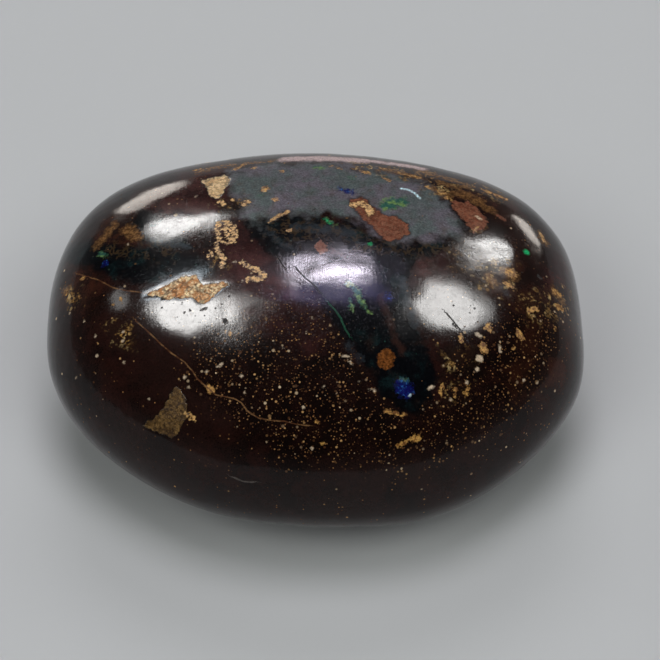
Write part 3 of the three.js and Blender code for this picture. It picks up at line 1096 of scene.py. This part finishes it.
def opal_fire(tree, stone):
    """The opal's emerald, green and blue flashes, and a thread of green."""
    stone = blend(tree, mark(tree, "emerald", 0.10, 0.15, 0.09), stone, colour(0.015, 0.42, 0.14))
    leafy = mottle(tree, 0.5, 0.42, 0.58)
    green_tone = blend(tree, leafy, colour(0.026, 0.10, 0.075), colour(0.16, 0.27, 0.08))
    stone = tint(tree, mark(tree, "green", 0.34, 0.22, 0.10), 0.9, stone, green_tone)
    icy = mottle(tree, 0.16, 0.52, 0.66)
    blue_tone = blend(tree, icy, colour(0.004, 0.005, 0.085), colour(0.020, 0.10, 0.32))
    stone = tint(tree, mark(tree, "blue", 0.36, 0.22, 0.14), 0.92, stone, blue_tone)
    return tint(tree, hairline(tree, "green_vein"), 0.6, stone, colour(0.02, 0.09, 0.05))


FILLING_TONES = {  # dark, pale, stained
    "tan": (colour(0.45, 0.28, 0.125), colour(0.86, 0.62, 0.35), colour(0.52, 0.31, 0.13)),
    "olive": (colour(0.036, 0.016, 0.003), colour(0.195, 0.110, 0.034), colour(0.080, 0.040, 0.009)),
    "leaf": (colour(0.38, 0.17, 0.060), colour(0.98, 0.78, 0.47), colour(0.56, 0.21, 0.055)),
}


def rough_fillings(tree, stone, crumb, patchy):
    """Iron clay: crumbly, cracked and stained, with a dark line round each filling, partly a crack and
    partly painted shade at its sunk edge.
    """
    rough = 0.0
    for kind in ROUGH_FILLINGS:
        dark, pale, stained = FILLING_TONES[kind]
        filling, rim = rimmed_mark(tree, kind, 0.16, 0.28, 0.035, 0.10)
        tone = blend(tree, crumb, dark, pale)
        tone = tint(tree, patchy, 0.75, tone, stained)
        tone = tint(tree, net(tree, 0.38, 0.07, 0.46), 0.6, tone, colour(0.024, 0.011, 0.006))
        # The dark rim is partly a crack and partly painted shade along the sunk edge.
        stone = tint(tree, rim, 0.8, stone, colour(0.006, 0.0035, 0.0025))
        stone = blend(tree, filling, stone, tone)
        rough = larger(tree, rough, filling)
    return stone, rough


def lace_and_ochre(tree, stone, crumb, patchy):
    """Gold lace, ochre grains and the long ochre vein."""
    lace, rim = rimmed_mark(tree, "lace", 0.24, 0.16, 0.05, 0.12)
    lace_tone = blend(tree, crumb, colour(0.15, 0.068, 0.018), colour(0.66, 0.38, 0.135))
    stone = tint(tree, rim, 0.6, stone, colour(0.012, 0.007, 0.005))
    stone = blend(tree, lace, stone, lace_tone)
    ochre = mark(tree, "ochre", 0.30, 0.22, 0.05)
    ochre_tone = blend(tree, crumb, colour(0.15, 0.058, 0.014), colour(0.54, 0.29, 0.075))
    stone = tint(tree, ochre, 0.92, stone, ochre_tone)
    vein_tone = blend(tree, patchy, colour(0.085, 0.032, 0.014), colour(0.20, 0.105, 0.045))
    stone = tint(tree, hairline(tree, "ochre_vein"), 0.85, stone, vein_tone)
    return stone, larger(tree, ochre, lace)


def cream_and_painted_glint(tree, stone):
    cream = mark(tree, "cream", 0.10, 0.15, 0.05)
    stone = tint(tree, cream, 0.9, stone, colour(0.56, 0.43, 0.30))
    stone = tint(tree, hairline(tree, "scratch"), 0.6, stone, colour(0.13, 0.11, 0.10))
    # The glints are painted reflections in the colour.
    stone = blend(tree, mark(tree, "painted_glint", 0.03, 0.2, 0.05), stone, colour(0.70, 0.92, 1.0))
    return stone, cream


def pits_and_cracks(tree, stone):
    holes = use(tree, "flecks", Spacing=0.30, Radius=0.05, Share=0.5)["Mask"]
    holes = times(tree, holes, mark(tree, "pitted", 0.6, 0.8, 0.4))
    pits = larger(tree, hairline(tree, "crack"), mark(tree, "pit", 0.08, 0.12, 0.03))
    pits = larger(tree, pits, holes)
    return tint(tree, pits, 0.9, stone, colour(0.003, 0.0025, 0.0025)), pits


GRAIN_SIZE = 0.10  # mm
DARKEST_GRAIN, PALEST_GRAIN = -0.1, 2.1  # what the colour is multiplied by
POLISH_ROUGHNESS, POLISH_UNEVENNESS = 0.03, 0.06
CLAY_ROUGHNESS = 0.65
DIMPLES_MATTE, HAIRS_MATTE, GOLD_MATTE, CREAM_MATTE = 0.26, 0.15, 0.8, 0.5
HAIRS_TURN = math.radians(35)
HAIRS_PER_MM = (14, 0.9, 1.5)
HAIRS_SHOWING = (0.56, 0.72)
HAZE, HAZE_UNEVENNESS, HAZE_LOST_AT_RIM = 0.36, 0.18, 0.9
HAZE_ROUGHNESS = 0.17
HAZE_IOR = 1.25
STONE_IOR = 1.5
STONE_SPECULAR = 0.14
CRUMB_HEIGHT, PIT_DEPTH, RIPPLE_HEIGHT, HAIR_HEIGHT = 0.07, 0.04, 0.0022, 0.0014  # mm
CRUMB_SIZE = RIPPLE_SIZE = 0.12  # mm


def brushed_hairs(tree):
    """Fine parallel scratches from the polishing wheel."""
    brushed = add(tree, "ShaderNodeMapping")
    feed(tree, brushed.inputs["Vector"], in_mm(tree))
    brushed.inputs["Rotation"].default_value = (0, 0, HAIRS_TURN)
    brushed.inputs["Scale"].default_value = HAIRS_PER_MM
    return noise(tree, brushed.outputs[0], 2, 0.6)


def gloss(tree, surface, matte, fine_mottled, hairs):
    """A sharp polish that dimples and hairs break up, under a thin haze that fades towards the rim."""
    polish = calc(tree, "ADD", POLISH_ROUGHNESS, times(tree, fine_mottled, POLISH_UNEVENNESS))
    dimples = times(tree, mottle(tree, 0.11, 0.50, 0.66), DIMPLES_MATTE)
    worn = larger(tree, dimples, times(tree, ramp(tree, hairs, *HAIRS_SHOWING), HAIRS_MATTE))
    roughness = blend_value(tree, larger(tree, matte, worn), polish, CLAY_ROUGHNESS)
    feed(tree, surface.inputs["Roughness"], roughness)
    slant = add(tree, "ShaderNodeLayerWeight")
    slant.inputs["Blend"].default_value = 0.5
    lost = times(tree, calc(tree, "POWER", slant.outputs["Facing"], 2), HAZE_LOST_AT_RIM)
    haze = calc(tree, "SUBTRACT", HAZE, times(tree, fine_mottled, HAZE_UNEVENNESS))
    haze = times(tree, haze, calc(tree, "SUBTRACT", 1, lost))
    glossy = calc(tree, "SUBTRACT", 1, matte)
    feed(tree, surface.inputs["Coat Weight"], calc(tree, "MULTIPLY", haze, glossy, clamp=True))
    surface.inputs["Coat Roughness"].default_value = HAZE_ROUGHNESS
    surface.inputs["Coat IOR"].default_value = HAZE_IOR
    surface.inputs["Specular IOR Level"].default_value = STONE_SPECULAR
    surface.inputs["IOR"].default_value = STONE_IOR


def relief(tree, surface, rough, pits, hairs):
    """Crumbs on the clay, pits, and the polish's ripple and hairs. Heights are in mm."""
    crumbs = noise(tree, in_cells(tree, CRUMB_SIZE), 4, 0.7)
    height = times(tree, times(tree, crumbs, rough), CRUMB_HEIGHT)
    height = calc(tree, "SUBTRACT", height, times(tree, pits, PIT_DEPTH))
    ripple = noise(tree, in_cells(tree, RIPPLE_SIZE), 3, 0.6)
    height = calc(tree, "ADD", height, times(tree, ripple, RIPPLE_HEIGHT))
    height = calc(tree, "ADD", height, times(tree, hairs, HAIR_HEIGHT))
    bump = add(tree, "ShaderNodeBump")
    bump.inputs["Strength"].default_value = 1
    bump.inputs["Distance"].default_value = MM
    feed(tree, bump.inputs["Height"], height)
    feed(tree, surface.inputs["Normal"], bump.outputs[0])


def opal_ironstone():
    material = bpy.data.materials.new("opal_ironstone")
    material.use_nodes = True
    tree = material.node_tree
    surface = tree.nodes["Principled BSDF"]
    fine_mottled = mottle(tree, 0.35, 0.35, 0.7)
    crumb = mottle(tree, 0.16, 0.38, 0.62)
    patchy = mottle(tree, 0.55, 0.45, 0.6)

    stone = ironstone(tree, fine_mottled)
    stone, black = black_zone(tree, stone)
    stone, slate = slate_zone(tree, stone, fine_mottled)
    stone = gold_and_painted_rim_reflection(tree, stone, crumb)
    stone = specks(tree, stone, slate, black)
    stone = brick_patches(tree, stone, fine_mottled, crumb)
    stone = opal_fire(tree, stone)
    stone, rough = rough_fillings(tree, stone, crumb, patchy)
    stone, gold = lace_and_ochre(tree, stone, crumb, patchy)
    stone, cream = cream_and_painted_glint(tree, stone)
    stone, pits = pits_and_cracks(tree, stone)
    grain = noise(tree, in_cells(tree, GRAIN_SIZE), 3, 0.75)
    grain = blend_value(tree, grain, DARKEST_GRAIN, PALEST_GRAIN)
    feed(tree, surface.inputs["Base Color"], scaled(tree, stone, grain))

    matte = larger(tree, rough, times(tree, gold, GOLD_MATTE))
    matte = larger(tree, matte, pits)
    matte = larger(tree, matte, times(tree, cream, CREAM_MATTE))
    hairs = brushed_hairs(tree)
    gloss(tree, surface, matte, fine_mottled, hairs)
    relief(tree, surface, rough, pits, hairs)
    return material


# ---------------------------------------------------------------- the table and the light

TABLE_RADIUS = 0.8
LAMP_DISTANCE = 1.2
SOFT_LAMP_SIZE = 28  # degrees across, seen from the stone
NEUTRAL = (1.0, 0.99, 1.02)
GREENISH = (0.965, 1.0, 0.965)
WHITE = (1.0, 0.99, 0.97)
LILAC = (0.93, 0.86, 1.0)
VIOLET = (0.70, 0.64, 1.0)
DEEP_VIOLET = (0.42, 0.38, 1.0)
PALE_BLUE = (0.80, 0.91, 1.0)
ROSY = (1.0, 0.92, 0.84)
HORIZON = colour(0.16, 0.16, 0.163)
ZENITH = colour(0.006, 0.006, 0.007)
BACKDROP = colour(0.34, 0.34, 0.345)
ROOM_SHADE = colour(0.01, 0.011, 0.01)
HORIZON_FADE = (-0.02, 0.45)  # the sines of the elevations between which its glow fades

SOFT_LAMPS = [  # name, azimuth, elevation, radiance, hue
    ("overhead_soft", 90, 90, 4.6, NEUTRAL),
    ("back_soft", 90, 50, 2.8, NEUTRAL),
    ("front_left_soft", 232, 52, 3.6, GREENISH),
    ("front_right_soft", 308, 58, 3.0, GREENISH),
    ("right_soft", 10, 24, 1.6, GREENISH),
    ("left_soft", 170, 24, 1.4, GREENISH),
]
SPARKLE_LAMPS = [  # name, azimuth, elevation, width, height, radiance, hue, turn
    ("centre_core", 88.5, 53.4, 5.6, 4.8, 88, LILAC, 0),
    ("centre_glow", 86, 53.4, 6.4, 5.6, 16, LILAC, 0),
    ("centre_halo", 84, 53.5, 9, 7, 3.2, VIOLET, 0),
    ("centre_violet", 86, 58, 12, 4, 4.6, DEEP_VIOLET, 0),
    ("left_core", 132, 60, 16.5, 14, 38, WHITE, 0),
    ("left_glow", 129, 58, 19, 15, 16, WHITE, 0),
    ("left_wide", 125, 58, 25, 18, 2, WHITE, 0),
    ("left_tail", 109, 60, 8, 5, 8, WHITE, 0),
    ("left_blue", 122, 50, 18, 4, 26, PALE_BLUE, 0),
    ("right_core", 51, 55, 19, 15.5, 27, WHITE, 0),
    ("right_glow", 50, 53, 22, 19, 12, WHITE, 0),
    ("right_wide", 51, 52, 24, 22, 2, WHITE, 0),
    ("high_left_core", 107.5, 30, 10, 8, 30, WHITE, 0),
    ("high_left_glow", 108.5, 30, 12, 9.5, 12, WHITE, 0),
    ("high_right_core", 56, 31, 15, 3.2, 46, WHITE, 52),
    ("high_right_glow", 56.5, 31.5, 17, 4.6, 4, WHITE, 52),
    ("low_left", 109, 4, 17, 19, 9, ROSY, 0),
    ("low_right", 54, 5, 13, 9, 11, ROSY, 0),
    ("far_left", 142, 38, 7.5, 9.5, 7, WHITE, 0),
]


def add_table():
    deselect_all()
    bpy.ops.mesh.primitive_circle_add(vertices=96, radius=TABLE_RADIUS, fill_type="TRIFAN")
    table = bpy.context.active_object
    table.name = "table"
    material = bpy.data.materials.new("pale_table")
    material.use_nodes = True
    surface = material.node_tree.nodes["Principled BSDF"]
    surface.inputs["Base Color"].default_value = colour(0.60, 0.605, 0.62)
    surface.inputs["Roughness"].default_value = 0.9
    surface.inputs["Specular IOR Level"].default_value = 0
    table.data.materials.append(material)


def across_lamp(degrees):
    return 2 * LAMP_DISTANCE * math.tan(math.radians(degrees / 2))


def add_lamp(name, azimuth, elevation, width, height, radiance, hue, turn=0):
    """Azimuth runs from +X towards +Y; width and height are seen from the stone. All are in degrees."""
    data = bpy.data.lights.new(name, "AREA")
    data.shape = "ELLIPSE"
    data.size = across_lamp(width)
    data.size_y = across_lamp(height)
    area = data.size * data.size_y * math.pi / 4
    data.energy = radiance * math.pi * area
    data.color = hue
    lamp = bpy.data.objects.new(name, data)
    bpy.context.scene.collection.objects.link(lamp)
    turned, raised = math.radians(azimuth), math.radians(elevation)
    level = math.cos(raised)
    away = Vector((math.cos(turned) * level, math.sin(turned) * level, math.sin(raised)))
    lamp.location = MIDDLE + away * LAMP_DISTANCE
    lamp.rotation_mode = "QUATERNION"
    rolled = Euler((0, 0, math.radians(turn))).to_quaternion()
    lamp.rotation_quaternion = away.to_track_quat("Z", "Y") @ rolled
    return lamp


def add_lights():
    """The soft lamps give only diffuse light, and the sparkle lamps only reflections."""
    for name, azimuth, elevation, radiance, hue in SOFT_LAMPS:
        lamp = add_lamp(name, azimuth, elevation, SOFT_LAMP_SIZE, SOFT_LAMP_SIZE, radiance, hue)
        lamp.visible_glossy = False
    for settings in SPARKLE_LAMPS:
        add_lamp(*settings).visible_diffuse = False


def add_world():
    world = bpy.data.worlds.new("studio")
    world.use_nodes = True
    tree = world.node_tree
    heading = add(tree, "ShaderNodeSeparateXYZ")
    feed(tree, heading.inputs[0], add(tree, "ShaderNodeTexCoord").outputs["Generated"])
    dusk = blend(tree, ramp(tree, heading.outputs["Z"], *HORIZON_FADE), HORIZON, ZENITH)
    path = add(tree, "ShaderNodeLightPath").outputs
    dusk = blend(tree, path["Is Camera Ray"], dusk, BACKDROP)
    dusk = blend(tree, path["Is Diffuse Ray"], dusk, ROOM_SHADE)
    feed(tree, tree.nodes["Background"].inputs["Color"], dusk)
    bpy.context.scene.world = world
    bpy.context.scene.view_settings.view_transform = "Standard"


# ---------------------------------------------------------------- putting it together

add_camera()
stone = make_stone()
stone.data.materials.clear()
stone.data.materials.append(opal_ironstone())
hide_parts(STONE_NODE)
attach(stone, "root")
add_table()
add_lights()
add_world()
